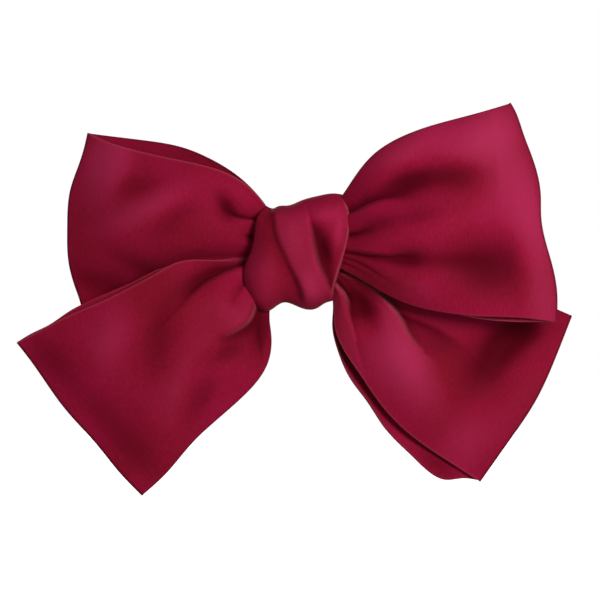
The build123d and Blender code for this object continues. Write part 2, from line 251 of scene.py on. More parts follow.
def thread_material():
    """Dark burgundy thread with fine fibres."""
    material, nodes, links, shader = new_material("burgundy_thread")
    place = nodes.new("ShaderNodeTexCoord")
    fibres = stretched_noise(nodes, links, place.outputs["Object"], (5000, 5000, 1500), 3.0, 0.6)
    colour = blended(nodes, links, fibres, (0.11, 0.004, 0.012), (0.26, 0.012, 0.035))
    links.new(colour, shader.inputs["Base Color"])
    bump(nodes, links, fibres, shader, 0.5, 0.00005)
    shader.inputs["Roughness"].default_value = 0.6
    shader.inputs["Sheen Weight"].default_value = 0.3
    return material


def felt_material():
    """Matt burgundy felt, clumped and fuzzy."""
    material, nodes, links, shader = new_material("burgundy_felt")
    place = nodes.new("ShaderNodeTexCoord")
    clumps = stretched_noise(nodes, links, place.outputs["Object"], (420, 420, 420), 3.0, 0.6)
    fibres = stretched_noise(nodes, links, place.outputs["Object"], (3800, 3800, 3800), 4.0, 0.75)
    colour = blended(nodes, links, clumps, (0.075, 0.004, 0.012), (0.15, 0.009, 0.025))
    fuzz = blended(nodes, links, fibres, (0.65, 0.62, 0.62), (1.3, 1.35, 1.35))
    links.new(mixed(nodes, links, "MULTIPLY", 1.0, colour, fuzz), shader.inputs["Base Color"])
    bump(nodes, links, fibres, shader, 0.9, 0.00018)
    shader.inputs["Roughness"].default_value = 0.95
    shader.inputs["Specular IOR Level"].default_value = 0.15
    shader.inputs["Sheen Weight"].default_value = 0.5
    shader.inputs["Sheen Tint"].default_value = (1.0, 0.5, 0.55, 1)
    return material


def metal_material(name, dark, light, grain, scratch, roughness):
    """Plated steel with drawn-out polishing marks and slightly uneven gloss."""
    material, nodes, links, shader = new_material(name)
    place = nodes.new("ShaderNodeTexCoord")
    tarnish = stretched_noise(nodes, links, place.outputs["Object"], (220, 220, 220), 3.0, 0.6)
    links.new(blended(nodes, links, tarnish, dark, light), shader.inputs["Base Color"])
    marks = stretched_noise(nodes, links, place.outputs["Object"], grain, 2.0, 0.6)
    gloss = nodes.new("ShaderNodeMapRange")
    gloss.inputs["To Min"].default_value = roughness[0]
    gloss.inputs["To Max"].default_value = roughness[1]
    links.new(marks, gloss.inputs["Value"])
    links.new(gloss.outputs["Result"], shader.inputs["Roughness"])
    bump(nodes, links, marks, shader, scratch, 0.00002)
    shader.inputs["Metallic"].default_value = 1.0
    return material


# ---- Curves and relief, in millimetres ---------------------------------------------------------


def travelled(points):
    """The length of a line up to each of its points."""
    return np.concatenate([[0], np.cumsum(np.linalg.norm(np.diff(points, axis=0), axis=1))])


def smooth_curve(points, places):
    """A natural cubic spline through the points, at these fractions (0 to 1) of its length."""
    knots = np.asarray(points, float)
    if len(knots) == 2:
        return knots[0] + np.outer(places, knots[1] - knots[0])
    at = travelled(knots)
    gap = np.diff(at)
    count = len(knots)
    matrix = np.eye(count)
    right = np.zeros_like(knots)
    slope = np.diff(knots, axis=0) / gap[:, None]
    for i in range(1, count - 1):
        matrix[i, i - 1 : i + 2] = gap[i - 1], 2 * (gap[i - 1] + gap[i]), gap[i]
        right[i] = 6 * (slope[i] - slope[i - 1])
    curvature = np.linalg.solve(matrix, right)
    fine = np.linspace(0, at[-1], 600)
    span = np.clip(np.searchsorted(at, fine) - 1, 0, count - 2)
    after = (fine - at[span])[:, None]
    before = (at[span + 1] - fine)[:, None]
    width = gap[span][:, None]
    line = (
        curvature[span] * before**3 / (6 * width)
        + curvature[span + 1] * after**3 / (6 * width)
        + (knots[span] / width - curvature[span] * width / 6) * before
        + (knots[span + 1] / width - curvature[span + 1] * width / 6) * after
    )
    length = travelled(line)
    wanted = np.asarray(places) * length[-1]
    return np.stack([np.interp(wanted, length, line[:, k]) for k in range(line.shape[1])], axis=1)


def patch(start, end, bottom, top, u, t):
    """X and Z of a four-sided patch. start and end run from bottom to top, bottom and top outwards."""
    low, high = smooth_curve(bottom, u), smooth_curve(top, u)
    first, last = smooth_curve(start, t), smooth_curve(end, t)
    u, t = u[:, None, None], t[None, :, None]
    across = low[:, None] * (1 - t) + high[:, None] * t
    along = first[None] * (1 - u) + last[None] * u
    near, far = first[0] * (1 - t) + first[-1] * t, last[0] * (1 - t) + last[-1] * t
    corners = near * (1 - u) + far * u
    return across + along - corners


def ease(x):
    """From 0 to 1 as x goes from 0 to 1, level at both ends."""
    x = np.clip(x, 0, 1)
    return x * x * (3 - 2 * x)


def beside(points, where):
    """Signed distance from a curve, positive on its left as seen from the front, and how far along it."""
    line = smooth_curve(points, np.linspace(0, 1, 48))
    flat = where.reshape(-1, 2)
    start, step = line[:-1], np.diff(line, axis=0)
    offset = flat[:, None] - start[None]
    along = np.clip((offset * step).sum(-1) / (step**2).sum(-1), 0, 1)
    gap = offset - along[..., None] * step
    distance = np.hypot(gap[..., 0], gap[..., 1])
    nearest = distance.argmin(axis=1)
    rows = np.arange(len(flat))
    side = step[nearest, 0] * offset[rows, nearest, 1] - step[nearest, 1] * offset[rows, nearest, 0]
    signed = np.where(side > 0, 1, -1) * distance[rows, nearest]
    fraction = (nearest + along[rows, nearest]) / len(step)
    return signed.reshape(where.shape[:2]), fraction.reshape(where.shape[:2])


def fold(where, points, left, right, reach, strength=(1, 1, 0), sharpness=0.5):
    """Relief beside a curve: this height on its left and right, dying away over reach on each side.
    strength is its share at the curve's start, middle and end."""
    distance, along = beside(points, where)
    share = np.interp(along, (0, 0.5, 1), strength)
    widen = 0.6 + 0.8 * along
    fade_left = np.exp(-np.maximum(distance, 0) / (reach[0] * widen))
    fade_right = np.exp(-np.maximum(-distance, 0) / (reach[1] * widen))
    side = 0.5 + 0.5 * np.tanh(distance / sharpness)
    return share * (side * left * fade_left + (1 - side) * right * fade_right)


def swell(where, x, z, long, short, angle, height):
    """A smooth oval hump, or a hollow where the height is negative."""
    turn = math.radians(angle)
    dx, dz = where[..., 0] - x, where[..., 1] - z
    along = dx * math.cos(turn) + dz * math.sin(turn)
    across = -dx * math.sin(turn) + dz * math.cos(turn)
    return height * np.exp(-((along / long) ** 2) - (across / short) ** 2)


def light_line(where, points, strength, width=0.7):
    """A thin painted highlight line along a curve, with its share at the curve's start, middle and end.
    """
    distance, along = beside(points, where)
    return np.interp(along, (0, 0.5, 1), strength) * np.exp(-((distance / width) ** 2))


def edge_lines(where, bottom, top, width=0.45):
    """A thin line along the cloth's own two edges, with a share for each."""
    from_bottom = np.linalg.norm(where - where[:, :1], axis=2)
    from_top = np.linalg.norm(where - where[:, -1:], axis=2)
    low = bottom * np.exp(-((from_bottom / width) ** 2))
    return np.maximum(low, top * np.exp(-((from_top / width) ** 2)))


def soft_average(field, reach):
    """The field averaged over this many neighbours on each side, three times over."""
    size = 2 * reach + 1
    for _ in range(3):
        for axis in (0, 1):
            width = [(0, 0), (0, 0)]
            width[axis] = (reach + 1, reach)
            total = np.cumsum(np.pad(field, width, mode="edge"), axis=axis)
            upper = np.take(total, range(size, total.shape[axis]), axis=axis)
            lower = np.take(total, range(0, total.shape[axis] - size), axis=axis)
            field = (upper - lower) / size
    return field


# The relief, in millimetres, that takes a crease and a hollow to their full painted shade and a crest to
# its full painted highlight
CREASE_DEPTH, HOLLOW_DEPTH, CREST_HEIGHT = 1.5, 5.2, 3.0


def painted_light_and_shade(relief, painted_gleam, edge):
    """How much painted shade the satin gets in creases and hollows, how much painted highlight on crests,
    and its painted highlight lines as given.
    edge marks the cloth's own two edges, which get painted shade where they have no painted highlight
    line. All are 0 to 1."""
    crease = np.clip((soft_average(relief, 4) - relief) / CREASE_DEPTH, 0, 1)
    hollow = np.clip(-relief / HOLLOW_DEPTH, 0, 1)
    # Painted shade in creases and hollows
    dark = 1 - (1 - 0.7 * crease) * (1 - 0.85 * hollow)
    # Painted shade along the cloth's own edges where they carry no painted highlight line
    dark = np.maximum(dark, 0.75 * edge * (1 - np.clip(painted_gleam / 0.3, 0, 1)))
    # Painted highlight on crests
    crest_highlight = 0.5 * np.clip(relief / CREST_HEIGHT, 0, 1)
    return dark, crest_highlight, painted_gleam


def crowned(u, t, bottom, middle, top, flatness=2.4):
    """Height of a puffed layer from its heights along the bottom edge, the middle and the top edge."""
    nominal_length = 100
    stations = np.linspace(0, 1, len(middle)) * nominal_length
    heights = []
    for row in (bottom, middle, top):
        line = smooth_curve(np.stack([stations, row], axis=1), np.linspace(0, 1, 200))
        heights.append(np.interp(u * nominal_length, line[:, 0], line[:, 1]))
    low, centre, high = heights
    edge = np.abs(2 * t - 1) ** flatness
    outer = np.where(t[None, :] < 0.5, low[:, None], high[:, None])
    return centre[:, None] + (outer - centre[:, None]) * edge[None, :]


def gathers(u, t, length, depth, count, phase):
    """Small pleats that fan out from the knot and die away."""
    fade = np.exp(-u[:, None] * length / 13)
    broad = np.sin(2 * np.pi * (count * t + phase))
    fine = np.sin(2 * np.pi * (1.7 * count * t + 2.3 * phase))
    wave = broad + 0.4 * fine
    return depth * fade * wave[None, :]


# ---- Ribbons -----------------------------------------------------------------------------------

# Fractions of a lobe's length and width: closer rows near the knot, and extra columns at the edges
ROWS = 104
EDGE_COLUMNS = (0.006, 0.013, 0.022)
ACROSS = np.array(sorted({*np.linspace(0, 1, 77), *EDGE_COLUMNS, *(1 - e for e in EDGE_COLUMNS)}))
OUTWARDS = np.linspace(0, 1, ROWS) ** 1.15
FOLD_RADIUS = 0.8
# The share of the relief that goes into the shape. The painted shade and highlights use all of it.
RELIEF_DEPTH = 0.75


def layer(shape, side):
    """One layer of a lobe as rows from the waist to the fold. A point is x, y, z, then its painted shade,
    painted crest highlight and painted highlight lines.
    """
    u, t = OUTWARDS, ACROSS
    edges = shape[side]
    where = patch(shape["waist"], shape["fold"], edges["bottom"], edges["top"], u, t)
    relief = gathers(u, t, shape["length"], *edges["gathers"])
    for crease in edges.get("folds", ()):
        relief += fold(where, **crease)
    for hump in edges.get("swells", ()):
        relief += swell(where, *hump)
    # Painted highlight lines along the cloth's own edges and along the listed curves
    painted_gleam = edge_lines(where, *edges["edge_light"])
    for line in edges.get("lines", ()):
        painted_gleam = np.maximum(painted_gleam, light_line(where, **line))
    # Painted shade and highlights follow the relief as seen from the layer's outer face, and the cloth's
    # edges get painted shade
    outwards = relief if side == "front" else -relief
    painted_shade_and_light = painted_light_and_shade(outwards, painted_gleam, edge_lines(where, 1, 1, 0.3))
    level = shape["fold_height"] + (FOLD_RADIUS if side == "front" else -FOLD_RADIUS)
    height = crowned(u, t, *[(*row, level) for row in edges["heights"]])
    height += RELIEF_DEPTH * relief * (1 - ease((u - 0.8) / 0.2))[:, None]
    return np.stack([where[..., 0], -height, where[..., 1], *painted_shade_and_light], axis=-1)


def lobe_rows(shape):
    """Front layer outwards, the small round of the fold, and the back layer inwards."""
    front, back = layer(shape, "front"), layer(shape, "back")
    rim = front[-1]
    along = np.gradient(rim[:, [0, 2]], axis=0)
    along /= np.linalg.norm(along, axis=1)[:, None]
    outward = np.stack([along[:, 1], -along[:, 0]], axis=1)
    a_few_rows_in = front[-6]
    inwards = a_few_rows_in[:, [0, 2]] - rim[:, [0, 2]]
    outward *= -np.sign((outward * inwards).sum(axis=1).mean())
    turn = []
    for angle in np.radians((60, 20, -20, -60)):
        row = rim.copy()
        row[:, [0, 2]] += outward * FOLD_RADIUS * math.cos(angle)
        row[:, 1] = -(shape["fold_height"] + FOLD_RADIUS * math.sin(angle))
        # Painted shade along the fold's round, where the cloth turns away
        row[:, 3] = np.maximum(row[:, 3], 0.5)
        turn.append(row)
    return [*front, *turn, *back[::-1]]


def bridge(first, last):
    """The bunched cloth inside the knot."""
    return [first * (1 - ease(f)) + last * ease(f) for f in np.linspace(0, 1, 9)[1:-1]]


def cloth_lengths(grid):
    """How far each point is across the cloth and each row along it, all rows as wide as the widest."""
    following = np.roll(grid, -1, axis=0)
    along = np.concatenate([[0], np.cumsum(np.linalg.norm(following - grid, axis=2).mean(axis=1))])
    across = np.zeros(grid.shape[:2])
    across[:, 1:] = np.cumsum(np.linalg.norm(np.diff(grid, axis=1), axis=2), axis=1)
    return across / across[:, -1:] * across[:, -1].max(), along


def cloth_mesh(name, rows, closed, material):
    """A grid of cloth with a UV map in metres. Points may carry their painted shade and highlights after
    x, y and z.
    """
    rows = np.array(rows)
    grid, marks = rows[..., :3] * MM, rows[..., 3:]
    n_rows, n_columns = grid.shape[:2]
    across, along = cloth_lengths(grid)
    faces, values = [], []
    for i in range(n_rows if closed else n_rows - 1):
        k = (i + 1) % n_rows
        a, b = i * n_columns, k * n_columns
        for j in range(n_columns - 1):
            faces.append((a + j, b + j, b + j + 1, a + j + 1))
            for row, station, column in ((i, i, j), (k, i + 1, j), (k, i + 1, j + 1), (i, i, j + 1)):
                values += (across[row, column], along[station])
    piece = new_piece(name, grid.reshape(-1, 3).tolist(), faces, material)
    piece.data.uv_layers.new(name="cloth").data.foreach_set("uv", values)
    # The painted shade and highlights go on the mesh as attributes that the satin reads
    for k, label in enumerate(("dark", "crest_highlight", "painted_gleam")[: marks.shape[-1]]):
        mark = piece.data.attributes.new(label, "FLOAT", "POINT")
        mark.data.foreach_set("value", marks[..., k].ravel())
    piece.data.shade_smooth()
    return piece


def thicken(piece, thickness):
    """Give a piece its thickness, half on each side."""
    solidify = piece.modifiers.new("thickness", "SOLIDIFY")
    solidify.thickness = thickness * MM
    solidify.offset = 0
    with bpy.context.temp_override(object=piece, active_object=piece, selected_objects=[piece]):
        bpy.ops.object.modifier_apply(modifier=solidify.name)
    piece.data.shade_smooth()


# A lobe's curves are X and Z in millimetres. waist and fold run from bottom to top, bottom and top
# run outwards. heights are three rows outwards: bottom edge, middle and top edge. edge_light is the
# strength of the painted highlight along the bottom and the top edge, lines are painted highlight lines
# along curves, and gathers is depth, count and phase. A swell is x, z, long and short radius, angle in
# degrees and height. Folds and swells make the relief, which also sets the painted shade and highlights.
RIGHT_LOOP = {
    "length": 80,
    "fold_height": 30.2,
    "waist": [(7, -1.5), (7, 9)],
    "fold": [
        (93.2, -25.5), (93.4, -15.2), (92.0, -6.5), (89.6, 2.1), (87.6, 12.4),
        (87.4, 21.1), (84.5, 33.7), (81.0, 43.1), (77.8, 51.6), (76.6, 53.6),
    ],
    "front": {
        "bottom": [
            (7, -1.5), (16, -5.9), (22, -9.1), (28, -12.7), (34.5, -16.3), (42.3, -19.5),
            (54.9, -22.2), (66, -23.4), (80.2, -23.9), (93.2, -25.5),
        ],
        "top": [
            (7, 9), (17.1, 21.1), (21.8, 28.1), (28.1, 35.3), (38.4, 41.6), (50.2, 45.9),
            (64.4, 49.8), (76.6, 53.6),
        ],
        "heights": [(21.5, 30, 35, 35.5), (22, 36.5, 42, 39), (21.5, 31.5, 35, 33.5)],
        "edge_light": (0.15, 0.0),
        "gathers": (0.5, 5.5, 0.1),
        "folds": [
            dict(points=[(9, 11.5), (19.9, 13.9), (26.1, 17), (31.2, 18.6), (37, 19.2), (43, 19.5)],
                 left=-5.5, right=0.8, reach=(4.0, 3.5), strength=(0.9, 1, 0), sharpness=0.6),
            dict(points=[(10, 6.2), (19.9, 6.2), (24, 7.3), (28.5, 9.0)],
                 left=-4.0, right=-4.0, reach=(1.6, 1.6), strength=(1, 1, 0)),
            dict(points=[(10, 1.6), (18.6, 0.4), (31.2, -1.2), (37.5, -1.2), (45, -0.8)],
                 left=0.7, right=-4.2, reach=(3.5, 3.0), strength=(0.5, 1, 0)),
            dict(points=[(10, -0.6), (17, -1.6), (24, -4.2), (31, -8.6), (38, -12.5)],
                 left=0.5, right=-1.5, reach=(1.2, 1.2), strength=(1, 1, 0), sharpness=0.3),
            dict(points=[(10, -1.6), (17, -3.6), (23, -6.4), (29, -10)],
                 left=0.5, right=-1.1, reach=(0.9, 0.9), strength=(1, 1, 0), sharpness=0.25),
            dict(points=[(69.8, 47.8), (72.8, 27), (72, 7)],
                 left=0.5, right=-0.2, reach=(4, 4), strength=(0.6, 1, 0), sharpness=0.8),
        ],
        "swells": [
            (40.5, 24.8, 11, 5.4, 16, -5.0),
            (56, 27, 9, 6, 5, -2.8),
            (69.5, -5.5, 14, 11, 0, -4.6),
            (54, -3.5, 11, 4.5, 0, -1.8),
            (39.5, -2.6, 8, 4.5, -5, -3.4),
            (28, 9.5, 7, 4, 20, -1.8),
            (42, 13, 14, 5, 12, -2.0),
            (86, 2, 34, 7, 99, 2.6),
            (60, 12, 14, 6, 8, 0.6),
            (74, 30, 22, 8, 95, 1.4),
            (38, 35, 18, 6, 38, 1.6),
            (64, 40, 14, 9, 30, 2.6),
            (44, -12, 12, 5, -24, 0.8),
        ],
    },
    "back": {
        "bottom": [
            (7, -1.5), (16, -2.6), (22, -4.2), (30, -8.8), (42, -15.5), (54.9, -21.3),
            (66, -24.2), (80, -25.4), (93.2, -25.5),
        ],
        "top": [
            (7, 9), (17.1, 20), (21.8, 26.5), (28.6, 33.5), (38.8, 40.2), (50.6, 44.7),
            (64.8, 49), (76.6, 53.6),
        ],
        "heights": [(18.5, 25, 29, 31), (18.5, 21.5, 23, 25), (18.5, 22.5, 25, 27)],
        "edge_light": (0.6, 0.0),
        "gathers": (0.9, 5, 0.3),
        "folds": [
            dict(points=[(10, 8), (24, 17), (42, 27), (62, 34)],
                 left=1.0, right=-3.4, reach=(5, 6), strength=(1, 1, 0), sharpness=0.7),
            dict(points=[(10, 2), (28, 0), (48, -6), (68, -11)],
                 left=-3.0, right=1.0, reach=(6, 5), strength=(1, 1, 0), sharpness=0.7),
            dict(points=[(10, 5), (22, 8), (34, 11)],
                 left=-2.6, right=-2.6, reach=(2, 2), strength=(1, 1, 0)),
        ],
        "swells": [(50, 12, 22, 8, 10, 2.2), (66, 22, 14, 9, 60, -1.4)],
    },
}

LEFT_TAIL_CURL = [(-14, -16), (-15.5, -20), (-16.9, -23.9), (-20.4, -27.3), (-25.6, -30)]

LEFT_TAIL = {
    "length": 95,
    "fold_height": 34.0,
    "waist": [(-5, -6), (-6, 1)],
    "fold": [
        (-55.3, -87.6), (-63.5, -79.1), (-71.8, -68.9), (-83.6, -55.6), (-94.8, -39.8), (-100.6, -32.3),
    ],
    "front": {
        "bottom": [
            (-5, -6), (-9.8, -15), (-10.5, -22.9), (-9.5, -31), (-10.8, -40.5), (-18.9, -51.6),
            (-38.4, -69.7), (-47.5, -80.4), (-55.3, -87.6),
        ],
        "top": [
            (-6, 1), (-18, -2.2), (-32.2, -3), (-43.4, -4), (-50, -7.4), (-57.1, -11.3),
            (-69.8, -17.7), (-84.6, -24.1), (-93, -28.5), (-100.6, -32.3),
        ],
        "heights": [(21.5, 27.5, 33, 34), (22, 33.5, 40, 38.5), (21.5, 32, 37.5, 36.5)],
        "edge_light": (0.0, 0.35),
        "lines": [
            dict(points=LEFT_TAIL_CURL, strength=(0.4, 0.5, 0.1), width=0.5),
        ],
        "gathers": (0.4, 5, 0.6),
        "folds": [
            dict(points=[(-12, -3.6), (-19.4, -5.2), (-25, -7.1), (-32.7, -11), (-41, -18.8)],
                 left=1.4, right=-4.5, reach=(9, 5), strength=(1, 1, 0.2)),
            dict(points=[(-13, -8), (-18.5, -11.5), (-22, -16), (-24, -21)],
                 left=-1.6, right=-2.4, reach=(2, 3), strength=(1, 1, 0), sharpness=0.8),
            dict(points=[*LEFT_TAIL_CURL, (-30, -30.6)],
                 left=-6.0, right=1.6, reach=(6, 8), strength=(0.5, 1, 0), sharpness=0.9),
            dict(points=[(-13, -18), (-13.8, -28), (-12.6, -38), (-13, -46)],
                 left=-1.4, right=-2.0, reach=(2.0, 2.5), strength=(1, 1, 0)),
            dict(points=[(-32, -32), (-41.5, -43), (-45.5, -56), (-48, -72)],
                 left=1.1, right=1.1, reach=(5, 9), strength=(0.5, 1, 0), sharpness=3.0),
        ],
        "swells": [
            (-50, -31, 14, 6, 78, -1.8),
            (-68, -32, 13, 7, 70, 1.4),
            (-64, -66, 26, 8, -48, -2.4),
            (-34, -52, 12, 5, 60, -1.4),
            (-90, -38, 14, 8, -50, -2.4),
            (-26, -37, 9, 4, 15, -1.4),
            (-34, -10, 12, 5, 26, -2.8),
            (-12.5, -28, 8, 3, 88, -2.4),
        ],
    },
    "back": {
        "bottom": [
            (-5, -6), (-9, -15), (-10.2, -22.9), (-10, -31), (-12, -40.5), (-20, -51.6),
            (-39, -69.3), (-47.8, -79.8), (-55.3, -87.6),
        ],
        "top": [
            (-6, 1), (-20, -1.8), (-35, -3.4), (-48.9, -5.8), (-58.6, -10.5), (-70, -15.5),
            (-77.9, -19.1), (-82.5, -21.6), (-89.8, -26.5), (-96.7, -29.9), (-100.6, -32.3),
        ],
        "heights": [(18.5, 25, 30.5, 32.5), (18.5, 27, 33, 33.5), (18.5, 28, 33.5, 34)],
        "edge_light": (0.0, 0.2),
        "gathers": (0.6, 5, 0.2),
        "folds": [
            dict(points=[(-12, -6), (-28, -18), (-46, -32), (-64, -44)],
                 left=-3.0, right=1.0, reach=(6, 5), strength=(1, 1, 0), sharpness=0.7),
            dict(points=[(-12, -14), (-20, -32), (-32, -50), (-44, -66)],
                 left=1.0, right=-2.8, reach=(5, 6), strength=(1, 1, 0), sharpness=0.7),
            dict(points=[(-11, -10), (-20, -21), (-29, -31)],
                 left=-2.4, right=-2.4, reach=(2, 2), strength=(1, 1, 0)),
        ],
        "swells": [(-62, -38, 18, 9, -50, 1.8)],
    },
}

LEFT_LOOP = {
    "length": 75,
    "fold_height": 19.2,
    "waist": [(-6, -4), (-6, 8)],
    "fold": [
        (-77.4, -23), (-78.2, -18.7), (-80.2, -12.7), (-82.6, -3.7), (-83.1, 8.8),
        (-82, 22.7), (-78.9, 31.8), (-76.7, 39), (-75.7, 43.5),
    ],
    "front": {
        "bottom": [(-6, -4), (-30, -9), (-55, -17), (-77.4, -23)],
        "top": [
            (-6, 8), (-11.3, 16.4), (-15.5, 21.8), (-18.3, 24.3), (-23.9, 27.8), (-34.3, 31.4),
            (-50.3, 34.9), (-61.4, 37.7), (-70.5, 40.8), (-75.7, 43.5),
        ],
        "heights": [(18, 19, 18.5, 17.5), (21, 30, 33.5, 29.5), (20.5, 27, 29, 26)],
        "edge_light": (0.0, 0.4),
        "gathers": (0.4, 5.5, 0.4),
        "folds": [
            dict(points=[(-9, 10.4), (-14.5, 11.3), (-22, 12.4), (-26, 14.4), (-28.5, 18)],
                 left=0.5, right=-4.5, reach=(3, 2.2), strength=(0.8, 1, 0), sharpness=0.4),
            dict(points=[(-10, 5.4), (-17, 5.8), (-21, 6.2)],
                 left=-4.0, right=-4.0, reach=(1.4, 2.0), strength=(1, 1, 0)),
            dict(points=[(-10, 0), (-18, -1), (-30, -1.4), (-44, -3), (-58, -9)],
                 left=-2.6, right=-2.6, reach=(4, 7), strength=(0.6, 0.9, 0.5), sharpness=2.0),
        ],
        "swells": [
            (-25.8, 15.8, 6.2, 3.6, 120, -3.6),
            (-56, 15, 16, 5, 28, 1.8),
            (-44, 12, 12, 4.5, 39, -1.0),
            (-60, 24, 10, 5, 10, -0.8),
            (-69, 33, 15, 8, 75, 2.6),
            (-72, -12, 16, 6, -25, -2.8),
            (-56, -6, 14, 4, -22, -1.6),
        ],
    },
    "back": {
        "bottom": [(-6, -4), (-30, -10), (-55, -18), (-77.4, -23)],
        "top": [
            (-6, 8), (-11.3, 16.8), (-22.5, 28.5), (-32.2, 34.4), (-42, 38.4), (-54.5, 40.8),
            (-65.6, 42.2), (-75.7, 43.5),
        ],
        "heights": [(17, 15, 14.5, 16), (16.5, 12.5, 11.2, 13.5), (17, 16, 16.5, 17.5)],
        "edge_light": (0.0, 0.0),
        "gathers": (0.8, 5, 0.7),
        "folds": [
            dict(points=[(-10, 7), (-26, 14), (-44, 22), (-60, 27)],
                 left=-3.0, right=1.0, reach=(6, 5), strength=(1, 1, 0), sharpness=0.7),
            dict(points=[(-10, 1), (-24, -1), (-40, -5), (-56, -10)],
                 left=1.0, right=-2.8, reach=(5, 6), strength=(1, 1, 0), sharpness=0.7),
            dict(points=[(-10, 4), (-20, 6), (-32, 7)],
                 left=-2.4, right=-2.4, reach=(2, 2), strength=(1, 1, 0)),
        ],
        "swells": [(-48, 4, 22, 8, -10, 2.0)],
    },
}

RIGHT_TAIL_RIDGE = [
    (16.7, -7.6), (22, -9.7), (26.8, -12.5), (33.1, -18.1), (37.3, -23.6), (40, -29.2), (45.6, -36.1),
]
RIGHT_TAIL_CURL = [(12, -9), (15.3, -12.8), (17.8, -16), (18.8, -20.1)]

RIGHT_TAIL = {
    "length": 95,
    "fold_height": 13.8,
    "waist": [(5, -6), (6, 0)],
    "fold": [(66.5, -83.8), (77.6, -68.1), (86.8, -54.2), (94.2, -38.2), (100.2, -22.9)],
    "front": {
        "bottom": [
            (5, -6), (12, -13), (13.8, -19), (13.9, -27), (15.2, -31.8), (22, -43.1), (31.7, -57),
            (41.5, -66.8), (57.4, -77.9), (66.5, -83.8),
        ],
        "top": [(6, 0), (30, -4), (60, -11), (85, -17), (93.6, -20.1), (100.2, -22.9)],
        "heights": [(20, 23.5, 22.5, 18), (21.5, 26, 26, 22), (20.5, 24, 22.5, 18)],
        "edge_light": (0.35, 0.0),
        "lines": [
            dict(points=RIGHT_TAIL_RIDGE, strength=(0.5, 0.6, 0.1)),
            dict(points=RIGHT_TAIL_CURL, strength=(0.5, 0.5, 0.1)),
        ],
        "gathers": (0.4, 5, 0.2),
        "folds": [
            dict(points=[(10, -5), *RIGHT_TAIL_RIDGE, (51.5, -41)],
                 left=-3.6, right=2.4, reach=(4.0, 16), strength=(0.3, 1, 0), sharpness=0.4),
            dict(points=[*RIGHT_TAIL_CURL, (20, -26)],
                 left=-7.0, right=1.0, reach=(5.0, 5), strength=(0.8, 1, 0.3), sharpness=0.4),
            dict(points=[(28, -15), (36.5, -22), (45, -25.4), (54, -30), (62, -36)],
                 left=1.2, right=-2.4, reach=(6, 4), strength=(0.2, 1, 0.2), sharpness=1.0),
        ],
        "swells": [
            (79, -31, 14, 8, 22, -5.8),
            (70, -42.5, 12, 8, 40, -3.6),
            (24.5, -21, 7, 4.2, -60, -4.5),
            (40, -38, 16, 8, -62, 2.0),
            (40, -46, 18, 8, -45, 1.0),
            (82, -52, 18, 6, 62, 0.5),
            (51, -33, 10, 6, -35, -1.4),
            (62, -70, 13, 8, 50, 1.2),
        ],
    },
    "back": {
        "bottom": [
            (5, -6), (12, -13), (13.5, -19), (13.2, -27.1), (15, -35.5), (19.9, -46.6), (25.5, -54.2),
            (32.4, -64.6), (42.8, -75.4), (49.8, -81.7), (54.3, -83.6), (60.9, -83.1), (66.5, -83.8),
        ],
        "top": [(6, 0), (30, -3), (60, -10), (85, -16.5), (93.6, -20.1), (100.2, -22.9)],
        "heights": [(17, 20.5, 20, 16), (16, 12, 10.8, 11.5), (16, 13, 12.5, 12.5)],
        "edge_light": (0.15, 0.0),
        "gathers": (0.8, 5, 0.5),
        "folds": [
            dict(points=[(12, -8), (28, -22), (46, -36), (62, -48)],
                 left=1.0, right=-3.0, reach=(5, 6), strength=(1, 1, 0), sharpness=0.7),
            dict(points=[(12, -12), (20, -32), (32, -50), (46, -64)],
                 left=-2.8, right=1.0, reach=(6, 5), strength=(1, 1, 0), sharpness=0.7),
            dict(points=[(10, -9), (20, -21), (30, -33)],
                 left=-2.4, right=-2.4, reach=(2, 2), strength=(1, 1, 0)),
        ],
        "swells": [(66, -38, 18, 9, -50, 1.6), (52, -77, 11, 6, -45, 2.0)],
    },
}


def make_band(name, right, left, material):
    """A ribbon folded into two lobes that meet in the knot."""
    first, second = lobe_rows(right), lobe_rows(left)
    rows = [*first, *bridge(first[-1], second[-1]), *second[::-1], *bridge(second[0], first[0])]
    band = cloth_mesh(name, rows, True, material)
    thicken(band, SATIN_THICKNESS)
    return band


# ---- Knot --------------------------------------------------------------------------------------

KNOT_LEFT = [
    (-15.2, -20), (-17.9, -15.7), (-19.5, -10.5), (-19.5, -6.3),
    (-17.4, -0.8), (-15.6, 7.7), (-14.3, 13.5), (-11.4, 16.6),
]
KNOT_RIGHT = [
    (12.9, -17.5), (14.1, -11.8), (15.7, -6.3), (17.7, 0.2),
    (19.3, 7.3), (19.5, 11.6), (19, 15.5), (16.6, 20.6),
]
KNOT_BOTTOM = [
    (-15.2, -20), (-11, -21.4), (-7.6, -19.4), (-4.9, -18.1), (-0.1, -19.4),
    (4.1, -20.7), (6.7, -20.4), (10, -18.4), (12.9, -17.5),
]
KNOT_TOP = [
    (-11.4, 16.6), (-8.45, 15.6), (-6.9, 16.3), (-3.6, 16.6),
    (1.5, 18.4), (8, 20.2), (13.9, 21), (16.6, 20.6),
]
KNOT_FOLDS = [
    dict(points=[(-8.45, 18), (-8.4, 13.2), (-7.2, 5.4), (-4.2, -1.4), (-1.6, -6.9), (1.3, -12.8),
                 (2.9, -19)],
         left=1.0, right=-1.7, reach=(6, 3.6), strength=(0.8, 0.8, 1), sharpness=0.8),
    dict(points=[(4.2, 12.5), (5.0, 8.5), (6.2, 1.5), (8.1, -5), (10.7, -10.5), (13.3, -16)],
         left=-6.0, right=1.8, reach=(3.2, 3.4), strength=(0.2, 1, 0.4), sharpness=0.45),
]
